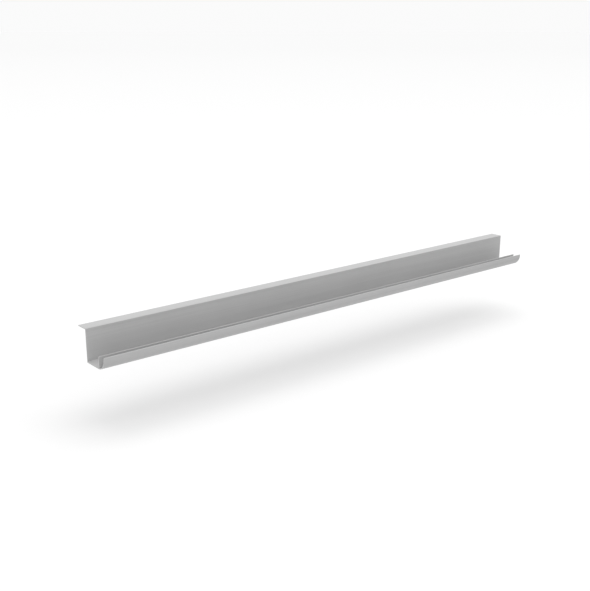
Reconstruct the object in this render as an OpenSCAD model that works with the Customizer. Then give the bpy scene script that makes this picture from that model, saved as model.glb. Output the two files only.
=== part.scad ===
// Aluminium trough profile: one extruded length, lying along X with the floor of the trough down.
// The origin is on the underside of the floor, at mid length and at the middle of the overall depth.
// The back of the section is at +Y and its rounded nose is at -Y.
// From back to front the section is a flange, an upright web that carries it, the floor of an open
// trough, an upright divider, and a nose that curves up from the floor in front of a narrow channel.

/* [Length] */
// Cut length of the profile
profile_length = 1000; // [100:10:3000]

/* [Section] */
// Overall height, from the underside of the floor to the top of the flange
profile_height = 55.5; // [45:0.5:90]
// Wall thickness all round the section
wall = 1.5; // [1:0.1:2.4]
// Depth of the flange, from the front of the web to the free back edge
flange_depth = 24; // [12:0.5:45]
// Clear width of the trough, from the web to the divider
trough_width = 36; // [20:0.5:60]
// Height of the divider, from the underside of the floor
divider_height = 20.5; // [14:0.5:26]
// Clear width at the mouth of the front channel, from the divider to the nose wall
channel_width = 15.5; // [10:0.5:30]
// Height of the nose, from the underside of the floor
nose_height = 23; // [22.5:0.5:32]
// Outer radius of the nose's curve, from the underside of the floor up to its upright wall
nose_radius = 20.5; // [14:0.5:22]

/* [Edges] */
// Inside radius where the web meets the flange and the floor
corner_radius = 0.8; // [0.3:0.1:1.5]
// Radius on the free edges and on the outside corners
edge_radius = 0.4; // [0.1:0.05:0.48]

/* [Hidden] */

aluminium = "silver";
nose_facets = 128;
corner_facets = 32;
// How far a corner piece reaches into the walls that it joins, or past the edge that it cuts
lap = 0.1;

// Places in the section, as depth from the front face of the web, positive towards the back
divider_back = -trough_width;
divider_front = divider_back - wall;
nose_inside = divider_front - channel_width;
nose_front = nose_inside - wall;
nose_centre = [nose_front + nose_radius, nose_radius];
mid_depth = (nose_front + flange_depth) / 2;

// Height of the floor's upper face at a depth, level at first and curving up ahead of the nose centre
function floor_top(depth) =
    nose_centre.y - sqrt(pow(nose_radius - wall, 2) - pow(max(0, nose_centre.x - depth), 2));

// Rectangle between two opposite corners
module plate(low, high) {
    translate(low) square(high - low);
}

// What lies between a square corner and the arc that rounds it: it fills an inside corner when it is
// added and rounds an outside corner when it is cut away. At no turn it opens to the back and up.
module corner_piece(corner, turn, radius) {
    translate(corner) rotate(turn) difference() {
        translate([-lap, -lap]) square(radius + lap);
        translate([radius, radius]) circle(radius, $fn = corner_facets);
    }
}

// Level flange at the top, bent to the back
module flange() {
    plate([0, profile_height - wall], [flange_depth, profile_height]);
}

// Upright web that joins the flange to the floor
module web() {
    plate([0, 0], [wall, profile_height]);
}

// Level floor of the trough, as far as the start of the nose's curve
module trough_floor() {
    plate([nose_centre.x, 0], [wall, wall]);
}

// Nose that curves up from the floor, with its short upright wall
module nose() {
    intersection() {
        translate(nose_centre) difference() {
            circle(nose_radius, $fn = nose_facets);
            circle(nose_radius - wall, $fn = nose_facets);
        }
        plate([nose_front - lap, -lap], nose_centre);
    }
    plate([nose_front, nose_centre.y], [nose_inside, nose_height]);
}

// Upright divider between the trough and the front channel, standing on the floor
module divider() {
    plate([divider_front, floor_top(divider_back) - lap], [divider_back, divider_height]);
}

// Fillets in the inside corners
module inside_corners() {
    corner_piece([wall, profile_height - wall], 270, corner_radius);
    corner_piece([0, wall], 90, corner_radius);
}

// What is cut away to round the free edges and the outside corners
module outside_corners() {
    corner_piece([flange_depth, profile_height], 180, edge_radius);
    corner_piece([flange_depth, profile_height - wall], 90, edge_radius);
    corner_piece([0, profile_height], 270, edge_radius);
    corner_piece([wall, 0], 90, edge_radius);
    corner_piece([divider_back, divider_height], 180, edge_radius);
    corner_piece([divider_front, divider_height], 270, edge_radius);
    corner_piece([nose_inside, nose_height], 180, edge_radius);
    corner_piece([nose_front, nose_height], 270, edge_radius);
}

// Cross-section, drawn with depth across and height up
module section() {
    difference() {
        union() {
            flange();
            web();
            trough_floor();
            nose();
            divider();
            inside_corners();
        }
        outside_corners();
    }
}

// The one extruded length, standing on its floor
module profile() {
    color(aluminium)
        translate([0, -mid_depth, 0])
        rotate([90, 0, 90])
        linear_extrude(profile_length, center = true) section();
}

profile();
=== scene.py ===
"""Aluminium trough profile: one sawn length of thin-walled stock above a pale studio floor."""

import math

import bmesh
import bpy
from bpy.props import FloatProperty, FloatVectorProperty, IntProperty, PointerProperty
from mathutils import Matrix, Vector


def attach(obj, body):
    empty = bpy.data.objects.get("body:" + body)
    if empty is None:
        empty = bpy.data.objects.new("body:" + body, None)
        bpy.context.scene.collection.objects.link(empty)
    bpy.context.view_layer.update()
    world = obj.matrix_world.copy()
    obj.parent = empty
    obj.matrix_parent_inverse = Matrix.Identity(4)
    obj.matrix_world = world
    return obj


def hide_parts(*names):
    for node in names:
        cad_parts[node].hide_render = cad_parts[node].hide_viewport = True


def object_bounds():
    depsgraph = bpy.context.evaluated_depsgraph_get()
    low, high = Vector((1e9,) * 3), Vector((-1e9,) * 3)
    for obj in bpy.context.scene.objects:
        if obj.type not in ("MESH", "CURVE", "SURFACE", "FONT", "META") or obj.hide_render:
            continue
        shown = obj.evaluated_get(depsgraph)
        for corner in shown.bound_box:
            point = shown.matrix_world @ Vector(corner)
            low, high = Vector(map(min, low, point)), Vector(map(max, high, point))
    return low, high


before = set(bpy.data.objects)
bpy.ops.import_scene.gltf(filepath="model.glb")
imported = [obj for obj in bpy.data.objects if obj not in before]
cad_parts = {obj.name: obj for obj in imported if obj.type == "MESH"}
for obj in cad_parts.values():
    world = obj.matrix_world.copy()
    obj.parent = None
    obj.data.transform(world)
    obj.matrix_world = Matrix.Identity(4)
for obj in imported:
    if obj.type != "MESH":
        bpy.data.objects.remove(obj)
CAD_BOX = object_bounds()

bl_info = {
    "name": "Aluminium Trough Profile",
    "version": (1, 0, 0),
    "blender": (4, 5, 0),
    "location": "View3D > Sidebar > Trough Profile",
    "description": "Builds a sawn length of thin-walled aluminium trough profile and a pale studio",
    "category": "Add Mesh",
}

CAD_SIZE = CAD_BOX[1] - CAD_BOX[0]

# Degrees on an arc of the section, named by the side of its centre that a point lies on
BACK, UP, FRONT, DOWN, BACK_AGAIN = 0, 90, 180, 270, 360

# Straight pieces that stand for each kind of arc
EDGE_STEPS = 6
FILLET_STEPS = 8
FOOT_STEPS = 6
TROUGH_STEPS = 4
CHANNEL_STEPS = 40
NOSE_STEPS = 48
BURR_STEPS = 4

# Points nearer to each other than this, in metres, are one point
SAME_POINT = 1e-7

# Least cosine of half the outline's turn at a point, so that the inset of a sharp corner stays short
LEAST_COSINE = 0.5

# Place of the sawn finish among the profile's materials, after the anodised one
SAWN_SLOT = 1

# Highest weight of large faces in the shading, so that flat walls look flat up to their edges
AREA_WEIGHT = 100

# Middle of a noise that runs from 0 to 1
MIDDLE = 0.5

# Sockets of the Mix node that take and give colours; others of its sockets have the same names
MIX_FIRST = 6
MIX_SECOND = 7
MIX_RESULT = 2

# Depth and height of the saw blade's middle, in metres, after the x that doesn't count
BLADE_MIDDLE = (0.0, -0.11, -0.13)

# The floor is a disc so wide, in metres, that its rim lies at the horizon, and painted falloff of light
# makes its colour darker between two distances from the profile's middle
FLOOR_RADIUS = 60
FLOOR_SIDES = 96
FLOOR_PAINTED_FALLOFF = (1, 20)

# A lamp of parallel light works the same at any distance, and this keeps it out of the profile
LAMP_DISTANCE = 3

# Width of the camera's sensor in millimetres, and the nearest and furthest that it sees in metres
SENSOR_WIDTH = 36
NEAREST_SEEN = 0.01
FURTHEST_SEEN = 200


def length(name, description, default, low, high):
    """A size in metres that a user can change"""
    return FloatProperty(
        name=name,
        description=description,
        default=default,
        min=low,
        max=high,
        precision=4,
        unit="LENGTH",
    )


def share(name, description, default):
    """A number from 0 to 1 that a user can change"""
    return FloatProperty(
        name=name, description=description, default=default, min=0, max=1, subtype="FACTOR"
    )


def colour(name, description, default):
    """A colour that a user can change"""
    return FloatVectorProperty(
        name=name, description=description, default=default, min=0, max=1, subtype="COLOR"
    )


def power(name, description, default):
    """A strength of light that a user can change"""
    return FloatProperty(name=name, description=description, default=default, min=0)


def angle(name, description, degrees):
    """An angle that a user can change"""
    return FloatProperty(
        name=name,
        description=description,
        default=math.radians(degrees),
        min=-math.pi,
        max=math.pi,
        subtype="ANGLE",
    )


def point(name, description, default):
    """A place in the scene that a user can change"""
    return FloatVectorProperty(
        name=name,
        description=description,
        default=default,
        precision=5,
        subtype="XYZ",
        unit="LENGTH",
    )


class ProfileSizes(bpy.types.PropertyGroup):
    """Sizes of the length of profile"""

    long: length("Length", "Sawn length of the profile", CAD_SIZE.x, 0.1, 3)
    high: length("Height", "From the underside of the floor to the flange's top", CAD_SIZE.z, 0.04, 0.1)
    wall: length("Wall", "Thickness of every wall of the section", 0.0015, 0.001, 0.003)
    flange: length("Flange depth", "From the web's front to the flange's free edge", 0.024, 0.01, 0.05)
    trough: length("Trough width", "Clear width from the web to the divider", 0.036, 0.02, 0.06)
    divider: length("Divider height", "From the underside of the floor", 0.0205, 0.014, 0.026)
    channel: length("Channel width", "Clear width at the mouth of the front channel", 0.0155, 0.01, 0.03)
    nose: length("Nose height", "From the underside of the floor", 0.023, 0.0225, 0.032)
    nose_radius: length("Nose radius", "Outer radius of the nose's curve", 0.0205, 0.014, 0.022)
    corner: length("Inside radius", "Fillet where the web meets flange and floor", 0.0008, 0.0002, 0.0015)
    foot: length("Foot radius", "Fillet at both feet of the divider", 0.0004, 0.0002, 0.0015)
    edge: length("Edge radius", "Rounding of the free edges and outside corners", 0.0004, 0.0001, 0.0005)
    burr: length("Sawn edge", "Rounding left by deburring the sawn ends", 0.00015, 0.00005, 0.0003)
    bays: IntProperty(
        name="Bays", description="Number of mesh bays along the length", default=40, min=1, max=400
    )


class ProfileFinish(bpy.types.PropertyGroup):
    """Colours and surface of the profile"""

    metal: colour("Anodised metal", "Colour of the satin anodised faces", (0.560, 0.560, 0.560))
    sawn: colour("Sawn metal", "Colour of the bare sawn ends", (0.68, 0.68, 0.68))
    metallic: share("Metallic", "How far the metal shows through its matt oxide layer", 0.41)
    satin: share("Satin roughness", "Roughness of the anodised faces", 0.808)
    rough_saw: share("Sawn roughness", "Roughness of the sawn ends", 0.708)
    uneven: share("Unevenness", "How far lines and clouds change the anodised colour", 0.09)
    saw_uneven: share("Sawn unevenness", "How far the saw's marks change the sawn colour", 0.16)
    rubbed: share("Rubbed", "How much brighter the metal is where it is rubbed bare", 0.25)
    die_line: length("Die line", "Width of the finest lines drawn by the die", 0.0003, 0.0001, 0.002)
    die_depth: length("Die line depth", "Depth of the lines drawn by the die", 0.000015, 0, 0.0002)
    saw_line: length("Saw line", "Width of the marks left by the saw", 0.0003, 0.0001, 0.002)
    saw_depth: length("Saw line depth", "Depth of the marks left by the saw", 0.00006, 0, 0.0002)


class StudioLook(bpy.types.PropertyGroup):
    """Floor, light and camera of the studio"""

    floor: colour("Floor", "Colour of the floor", (0.90, 0.90, 0.90))
    # Painted falloff of light: how much darker the floor's colour is made far from the profile
    floor_painted_falloff: share("Floor fade", "How much darker the floor is far from the profile", 0.085)
    drop: length("Drop", "Distance of the floor below the profile", 0.100, 0, 1)
    backdrop: power("Backdrop", "Brightness of the backdrop behind the floor", 0.962)
    room_light: power("Room light", "Light from all round the room", 0.794)
    side_light: power("Side light", "Soft light from the front and the far end", 0.602)
    side_turn: angle("Side light turn", "From the front towards the far end", 77.6)
    side_rise: angle("Side light rise", "Above the horizon", 30.1)
    top_light: power("Top light", "Soft light from nearly straight above", 0.895)
    top_turn: angle("Top light turn", "From the front towards the far end", 103.4)
    top_rise: angle("Top light rise", "Above the horizon", 74.6)
    spread: angle("Light spread", "Angle that each soft light fills, seen from the profile", 63.4)
    camera_place: point("Camera place", "Where the camera stands", (-1.10045, -1.21175, 0.50445))
    camera_aim: point("Camera aim", "Point at the middle of the picture", (-0.09762, 0.0, 0.03544))
    focal_length: FloatProperty(
        name="Focal length",
        description=f"Focal length of the camera in millimetres, on a {SENSOR_WIDTH} mm sensor",
        default=55.946,
        min=10,
        max=300,
        unit="CAMERA",
    )


class Value:
    """One number in a shader, so that maths on it is written as Python"""

    def __init__(self, finish, socket):
        self.finish = finish
        self.socket = socket

    def maths(self, operation, *values):
        """Adds a Math node that works on these values"""
        return self.finish.node("ShaderNodeMath", {"operation": operation}, dict(enumerate(values)))

    def __add__(self, other):
        return self.maths("ADD", self, other)

    __radd__ = __add__

    def __sub__(self, other):
        return self.maths("SUBTRACT", self, other)

    def __rsub__(self, other):
        return self.maths("SUBTRACT", other, self)

    def __mul__(self, other):
        return self.maths("MULTIPLY", self, other)

    __rmul__ = __mul__

    def sine(self):
        """Wave between -1 and 1 that repeats each full turn of this value"""
        return self.maths("SINE", self)

    def logarithm(self, base):
        """Power to which the base is raised to give this value"""
        return self.maths("LOGARITHM", self, base)


class Finish:
    """A node tree that is being filled in, for one material or for the light of the room"""

    def __init__(self, owner):
        owner.use_nodes = True
        self.tree = owner.node_tree
        self.tree.nodes.clear()

    def node(self, kind, settings=None, values=None, output=0):
        """Adds a node, first with its settings and then with the values or links of its sockets"""
        made = self.tree.nodes.new(kind)
        for name, setting in (settings or {}).items():
            setattr(made, name, setting)
        for name, value in (values or {}).items():
            if isinstance(value, Value):
                self.tree.links.new(value.socket, made.inputs[name])
            else:
                made.inputs[name].default_value = value
        return Value(self, made.outputs[output]) if made.outputs else None

    def place(self, stretch):
        """Where a point lies on the piece in metres, multiplied by a number for each axis"""
        here = self.node("ShaderNodeTexCoord", output="Object")
        return self.node("ShaderNodeVectorMath", {"operation": "MULTIPLY"}, {0: here, 1: stretch})

    def distance(self, stretch, centre):
        """Distance of the stretched place from a centre, in metres"""
        return self.node(
            "ShaderNodeVectorMath",
            {"operation": "DISTANCE"},
            {0: self.place(stretch), 1: centre},
            output="Value",
        )

    def noise(self, long, wide, detail, roughness):
        """Noise from 0 to 1 with marks so long along the profile and so wide across it, in metres"""
        return self.node(
            "ShaderNodeTexNoise",
            {"noise_dimensions": "3D"},
            {
                "Vector": self.place((1 / long, 1 / wide, 1 / wide)),
                "Scale": 1.0,
                "Detail": detail,
                "Roughness": roughness,
            },
        )

    def rings(self, distance, wide, detail, roughness):
        """Noise from 0 to 1 in uneven rings of this width in metres"""
        return self.node(
            "ShaderNodeTexNoise",
            {"noise_dimensions": "1D"},
            {"W": distance * (1 / wide), "Scale": 1.0, "Detail": detail, "Roughness": roughness},
        )

    def span(self, value, low, high):
        """Brings a value from this span to the one from 0 to 1 and holds it there"""
        return self.node(
            "ShaderNodeMapRange", {"clamp": True}, {"Value": value, "From Min": low, "From Max": high}
        )

    def blend(self, mask, one, other):
        """Mixes two colours: the first where the mask is 0 and the other where it is 1"""
        return self.node(
            "ShaderNodeMix",
            {"data_type": "RGBA", "blend_type": "MIX"},
            {"Factor": mask, MIX_FIRST: one, MIX_SECOND: other},
            output=MIX_RESULT,
        )

    def relief(self, height, depth, strength):
        """Bends the light as a surface of that height and depth in metres would"""
        return self.node(
            "ShaderNodeBump", None, {"Height": height, "Distance": depth, "Strength": strength}
        )

    def cover(self, sockets):
        """Ends a material with one shader that has these values on its sockets"""
        shader = self.node("ShaderNodeBsdfPrincipled", None, sockets)
        self.node("ShaderNodeOutputMaterial", None, {"Surface": shader})


def shade(tint, factor):
    """A colour made darker or lighter, for a colour socket"""
    return (*(min(1.0, part * factor) for part in tint), 1.0)


def satin_anodised(look):
    """Satin anodised aluminium, with the fine lines that the die leaves along the length"""
    material = bpy.data.materials.new("satin_anodised")
    finish = Finish(material)
    hair_lines = finish.noise(long=0.2, wide=look.die_line, detail=2.0, roughness=0.6)
    draw_lines = finish.noise(long=0.5, wide=5 * look.die_line, detail=2.0, roughness=0.5)
    bands = finish.noise(long=1.25, wide=30 * look.die_line, detail=1.0, roughness=0.4)
    clouds = finish.noise(long=0.11, wide=0.06, detail=4.0, roughness=0.55)
    spots = finish.noise(long=0.016, wide=0.0024, detail=4.0, roughness=0.7)
    scuffs = finish.span(spots, low=0.62, high=0.74)
    worn = finish.node("ShaderNodeAttribute", {"attribute_name": "worn_edge"}, output="Fac")
    # The patterns' shares of the tone, whose middle third takes the whole change of colour
    tone = 0.34 * hair_lines + 0.28 * draw_lines + 0.20 * bands + 0.18 * clouds
    tint = finish.blend(
        finish.span(tone, low=0.34, high=0.66),
        shade(look.metal, 1 - look.uneven),
        shade(look.metal, 1 + look.uneven),
    )
    # Edges and scuffs show some of the bright metal and are smoother than the satin round them
    bare = 0.3 * worn + 0.12 * scuffs
    tint = finish.blend(bare, tint, shade(look.metal, 1 + look.rubbed))
    smoother = 0.06 * worn + 0.10 * scuffs
    satin = look.satin + 0.11 * (hair_lines - MIDDLE) + 0.06 * (clouds - MIDDLE)
    finish.cover(
        {
            "Base Color": tint,
            "Metallic": look.metallic,
            "Roughness": satin - smoother,
            "Normal": finish.relief(0.6 * hair_lines + draw_lines, look.die_depth, strength=0.6),
        }
    )
    return material


def sawn_aluminium(look):
    """Bare aluminium as a circular saw leaves it, with shallow arcs from the blade's teeth"""
    material = bpy.data.materials.new("sawn_aluminium")
    finish = Finish(material)
    reach = finish.distance((0.0, 1.0, 1.0), BLADE_MIDDLE)
    teeth = finish.rings(reach, wide=look.saw_line, detail=3.0, roughness=0.65)
    # One wave of the feed is as wide as 5 saw lines, and wanders by about a turn
    wander = finish.noise(long=0.011, wide=0.011, detail=2.0, roughness=0.5)
    feed = (reach * (math.tau / (5 * look.saw_line)) + 6.0 * wander).sine()
    grain = finish.noise(long=0.0004, wide=0.0004, detail=3.0, roughness=0.6)
    # The patterns' shares of the marks, whose middle two fifths take the whole change of colour
    marks = 0.80 * teeth + 0.04 * feed + 0.20 * grain
    tint = finish.blend(
        finish.span(marks, low=0.30, high=0.70),
        shade(look.sawn, 1 - look.saw_uneven),
        shade(look.sawn, 1 + look.saw_uneven),
    )
    finish.cover(
        {
            "Base Color": tint,
            "Metallic": look.metallic,
            "Roughness": look.rough_saw + 0.12 * (grain - MIDDLE),
            "Normal": finish.relief(marks, look.saw_depth, strength=0.7),
        }
    )
    return material


def pale_floor(look):
    """Matt pale floor, with painted falloff of light that makes its colour a shade darker far from the
    profile
    """
    material = bpy.data.materials.new("pale_floor")
    finish = Finish(material)
    reach = finish.distance((1.0, 1.0, 0.0), (0.0, 0.0, 0.0))
    near, far = (math.log10(distance) for distance in FLOOR_PAINTED_FALLOFF)
    # Painted falloff of light: the floor's colour darkens between the two distances from the profile's
    # middle
    tint = finish.blend(
        finish.span(reach.logarithm(10), low=near, high=far),
        shade(look.floor, 1),
        shade(look.floor, 1 - look.floor_painted_falloff),
    )
    finish.cover({"Base Color": tint, "Roughness": 0.9, "Specular IOR Level": 0.0})
    return material


def check_sizes(size):
    """Raises an error that says what to change where these sizes can't make the section"""
    if size.nose < size.nose_radius + size.edge:
        raise ValueError("The nose must be higher than its radius: raise it or make the radius smaller")
    if size.burr >= size.edge:
        raise ValueError("The sawn edge must be rounded less than the edges along the length")


def arc(centre, radius, start, end, steps):
    """Points of an arc between two angles in degrees, both ends included"""
    turns = (math.radians(start + (end - start) * step / steps) for step in range(steps + 1))
    return [
        (centre[0] + radius * math.cos(turn), centre[1] + radius * math.sin(turn)) for turn in turns
    ]


class Outline:
    """Closed outline of the section as (depth, height), with how worn each point is"""

    def __init__(self):
        self.points = []
        self.wear = []

    def follow(self, points, worn=False):
        """Goes on along these points; the inner points of a worn arc are marked"""
        for index, place in enumerate(points):
            if self.points and math.dist(place, self.points[-1]) < SAME_POINT:
                continue
            self.points.append(place)
            self.wear.append(1.0 if worn and 0 < index < len(points) - 1 else 0.0)

    def edge(self, centre, radius, start):
        """Rounds a free edge or an outside corner by a quarter turn"""
        self.follow(arc(centre, radius, start, start + 90, EDGE_STEPS), worn=True)

    def inward(self, index):
        """Direction into the metal at a point, long enough to keep an even inset"""
        before = Vector(self.points[index - 1])
        here = Vector(self.points[index])
        after = Vector(self.points[(index + 1) % len(self.points)])
        first = (here - before).normalized().orthogonal()
        second = (after - here).normalized().orthogonal()
        middle = (first + second).normalized()
        return middle / max(LEAST_COSINE, middle.dot(first))


def section_outline(size):
    """Goes once round the section, from the flange's free edge, with the metal on the left"""
    outline = Outline()
    edge = size.edge
    divider_back = -size.trough
    divider_front = divider_back - size.wall
    nose_inside = divider_front - size.channel
    nose_front = nose_inside - size.wall
    nose_centre = (nose_front + size.nose_radius, size.nose_radius)
    inner_radius = size.nose_radius - size.wall

    def foot_on_floor(depth):
        """Centre of a foot's fillet, and its turn round the nose, which is DOWN on the level floor"""
        ahead = max(0.0, nose_centre[0] - depth)
        below = math.sqrt((inner_radius - size.foot) ** 2 - ahead**2)
        return (depth, nose_centre[1] - below), DOWN - math.degrees(math.atan2(ahead, below))

    back_foot, back_turn = foot_on_floor(divider_back + size.foot)
    front_foot, front_turn = foot_on_floor(divider_front - size.foot)

    # Flange top and the web's front face, down to the floor
    outline.edge((size.flange - edge, size.high - edge), edge, BACK)
    outline.edge((edge, size.high - edge), edge, UP)
    fillet_centre = (-size.corner, size.wall + size.corner)
    outline.follow(arc(fillet_centre, size.corner, BACK_AGAIN, DOWN, FILLET_STEPS))
    # Trough floor, up and over the divider, which stands on the curve where the channel is narrow
    if back_turn < DOWN:
        outline.follow(arc(nose_centre, inner_radius, DOWN, back_turn, TROUGH_STEPS))
    outline.follow(arc(back_foot, size.foot, back_turn, FRONT, FOOT_STEPS))
    outline.edge((divider_back - edge, size.divider - edge), edge, BACK)
    outline.edge((divider_front + edge, size.divider - edge), edge, UP)
    outline.follow(arc(front_foot, size.foot, BACK_AGAIN, front_turn, FOOT_STEPS))
    # Channel, up and over the nose, and down its outer curve
    outline.follow(arc(nose_centre, inner_radius, front_turn, FRONT, CHANNEL_STEPS))
    outline.edge((nose_inside - edge, size.nose - edge), edge, BACK)
    outline.edge((nose_front + edge, size.nose - edge), edge, UP)
    outline.follow(arc(nose_centre, size.nose_radius, FRONT, DOWN, NOSE_STEPS))
    # Underside, the web's back face and the flange's underside
    outline.edge((size.wall - edge, edge), edge, DOWN)
    fillet_centre = (size.wall + size.corner, size.high - size.wall - size.corner)
    outline.follow(arc(fillet_centre, size.corner, FRONT, UP, FILLET_STEPS))
    outline.edge((size.flange - edge, size.high - size.wall + edge), edge, DOWN)
    return outline


def length_stations(size):
    """Places along the length as (x, inset of the outline, worn), with both sawn edges rounded"""
    half = size.long / 2
    rounding = [math.pi / 2 * step / BURR_STEPS for step in range(BURR_STEPS + 1)]
    far = [
        (
            half - size.burr + size.burr * math.sin(turn),
            size.burr - size.burr * math.cos(turn),
            1.0 if turn > 0 else 0.0,
        )
        for turn in rounding
    ]
    near = [(-x, inset, worn) for x, inset, worn in reversed(far)]
    inner = half - size.burr
    middle = [(-inner + 2 * inner * bay / size.bays, 0.0, 0.0) for bay in range(1, size.bays)]
    return near + middle + far


def profile_mesh(size):
    """Mesh of the whole length: rings of the outline from end to end, closed by two sawn faces"""
    outline = section_outline(size)
    count = len(outline.points)
    # Brings the middle of the overall depth over the origin
    shift = (size.trough + 2 * size.wall + size.channel - size.flange) / 2
    inward = [outline.inward(index) for index in range(count)]
    work = bmesh.new()
    worn_layer = work.verts.layers.float.new("worn_edge")
    rings = []
    for x, inset, worn in length_stations(size):
        ring = []
        for index, (depth, height) in enumerate(outline.points):
            step = inward[index] * inset
            vertex = work.verts.new((x, depth + step.x + shift, height + step.y))
            vertex[worn_layer] = max(worn, outline.wear[index])
            ring.append(vertex)
        rings.append(ring)
    for ring, following in zip(rings, rings[1:]):
        for index in range(count):
            after = (index + 1) % count
            work.faces.new((ring[index], ring[after], following[after], following[index]))
    sawn = [work.faces.new(rings[0]), work.faces.new(rings[-1])]
    work.normal_update()
    sawn = bmesh.ops.triangulate(work, faces=sawn, ngon_method="EAR_CLIP")["faces"]
    bmesh.ops.recalc_face_normals(work, faces=work.faces)
    for face in work.faces:
        face.smooth = True
    for face in sawn:
        face.material_index = SAWN_SLOT
    mesh = bpy.data.meshes.new("trough_profile")
    work.to_mesh(mesh)
    work.free()
    return mesh


class OBJECT_OT_trough_profile(bpy.types.Operator):
    """Build the sawn length of profile with its anodised faces and bare ends"""

    bl_idname = "object.trough_profile"
    bl_label = "Trough Profile"
    bl_options = {"REGISTER", "UNDO"}

    def execute(self, context):
        scene = context.scene
        check_sizes(scene.profile_sizes)
        mesh = profile_mesh(scene.profile_sizes)
        mesh.materials.append(satin_anodised(scene.profile_finish))
        mesh.materials.append(sawn_aluminium(scene.profile_finish))
        piece = bpy.data.objects.new("trough_profile", mesh)
        scene.collection.objects.link(piece)
        weighted = piece.modifiers.new("even_shading", "WEIGHTED_NORMAL")
        weighted.mode = "FACE_AREA"
        weighted.weight = AREA_WEIGHT
        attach(piece, "root")
        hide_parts("profile")
        return {"FINISHED"}


class SCENE_OT_pale_studio(bpy.types.Operator):
    """Set up the pale floor, the soft light and the camera"""

    bl_idname = "scene.pale_studio"
    bl_label = "Pale Studio"
    bl_options = {"REGISTER", "UNDO"}

    def execute(self, context):
        scene = context.scene
        studio = scene.studio_look
        self.lay_floor(scene, studio)
        self.light_room(scene, studio)
        for name in ("side", "top"):
            energy = getattr(studio, name + "_light")
            turn = getattr(studio, name + "_turn")
            rise = getattr(studio, name + "_rise")
            self.hang_light(scene, studio, name + "_light", energy, turn, rise)
        self.stand_camera(scene, studio)
        scene.view_settings.view_transform = "Standard"
        return {"FINISHED"}

    def lay_floor(self, scene, studio):
        """Round floor that reaches the horizon, below the profile by the drop"""
        work = bmesh.new()
        bmesh.ops.create_circle(work, cap_ends=True, segments=FLOOR_SIDES, radius=FLOOR_RADIUS)
        bmesh.ops.translate(work, verts=work.verts, vec=(0, 0, CAD_BOX[0].z - studio.drop))
        mesh = bpy.data.meshes.new("floor")
        work.to_mesh(mesh)
        work.free()
        mesh.materials.append(pale_floor(studio))
        floor = bpy.data.objects.new("floor", mesh)
        scene.collection.objects.link(floor)
        # The floor takes the shadow, and sends no light back on to the profile
        floor.visible_diffuse = False
        floor.visible_glossy = False

    def light_room(self, scene, studio):
        """Even light from all round, with a white backdrop behind the floor"""
        room = bpy.data.worlds.new("pale_room")
        scene.world = room
        finish = Finish(room)
        seen = finish.node("ShaderNodeLightPath", output="Is Camera Ray")
        strength = studio.room_light + (studio.backdrop - studio.room_light) * seen
        backdrop = finish.node(
            "ShaderNodeBackground", None, {"Color": (1.0, 1.0, 1.0, 1.0), "Strength": strength}
        )
        finish.node("ShaderNodeOutputWorld", None, {"Surface": backdrop})

    def hang_light(self, scene, studio, name, energy, turn, rise):
        """Broad soft light from one direction, given by its turn and its rise"""
        lamp = bpy.data.lights.new(name, "SUN")
        lamp.energy = energy
        lamp.angle = studio.spread
        light = bpy.data.objects.new(name, lamp)
        towards = Vector(
            (math.sin(turn) * math.cos(rise), -math.cos(turn) * math.cos(rise), math.sin(rise))
        )
        light.location = LAMP_DISTANCE * towards
        light.rotation_euler = (-towards).to_track_quat("-Z", "Y").to_euler()
        scene.collection.objects.link(light)

    def stand_camera(self, scene, studio):
        """Camera at the place and angle of the photograph"""
        lens = bpy.data.cameras.new("camera")
        lens.sensor_width = SENSOR_WIDTH
        lens.lens = studio.focal_length
        lens.clip_start = NEAREST_SEEN
        lens.clip_end = FURTHEST_SEEN
        camera = bpy.data.objects.new("camera", lens)
        place = Vector(studio.camera_place)
        gaze = Vector(studio.camera_aim) - place
        camera.location = place
        camera.rotation_euler = gaze.to_track_quat("-Z", "Y").to_euler()
        scene.collection.objects.link(camera)
        scene.camera = camera


class VIEW3D_PT_trough_profile(bpy.types.Panel):
    """Sizes, finish and studio of the trough profile"""

    bl_idname = "VIEW3D_PT_trough_profile"
    bl_label = "Trough Profile"
    bl_space_type = "VIEW_3D"
    bl_region_type = "UI"
    bl_category = "Trough Profile"

    def draw(self, context):
        """Lists each group of settings, with the operator that builds from it"""
        for title, group, operator in (
            ("Sizes", context.scene.profile_sizes, OBJECT_OT_trough_profile),
            ("Finish", context.scene.profile_finish, None),
            ("Studio", context.scene.studio_look, SCENE_OT_pale_studio),
        ):
            box = self.layout.box()
            box.label(text=title)
            for name in group.__annotations__:
                box.prop(group, name)
            if operator:
                box.operator(operator.bl_idname)


CLASSES = (
    ProfileSizes,
    ProfileFinish,
    StudioLook,
    OBJECT_OT_trough_profile,
    SCENE_OT_pale_studio,
    VIEW3D_PT_trough_profile,
)


def register():
    """Makes the classes known and gives the scene its three groups of settings"""
    for made in CLASSES:
        bpy.utils.register_class(made)
    bpy.types.Scene.profile_sizes = PointerProperty(type=ProfileSizes)
    bpy.types.Scene.profile_finish = PointerProperty(type=ProfileFinish)
    bpy.types.Scene.studio_look = PointerProperty(type=StudioLook)


def unregister():
    """Takes back what register did, last things first"""
    del bpy.types.Scene.studio_look
    del bpy.types.Scene.profile_finish
    del bpy.types.Scene.profile_sizes
    for made in reversed(CLASSES):
        bpy.utils.unregister_class(made)


def main():
    """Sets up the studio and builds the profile"""
    register()
    bpy.ops.scene.pale_studio()
    bpy.ops.object.trough_profile()


if __name__ == "__main__":
    main()
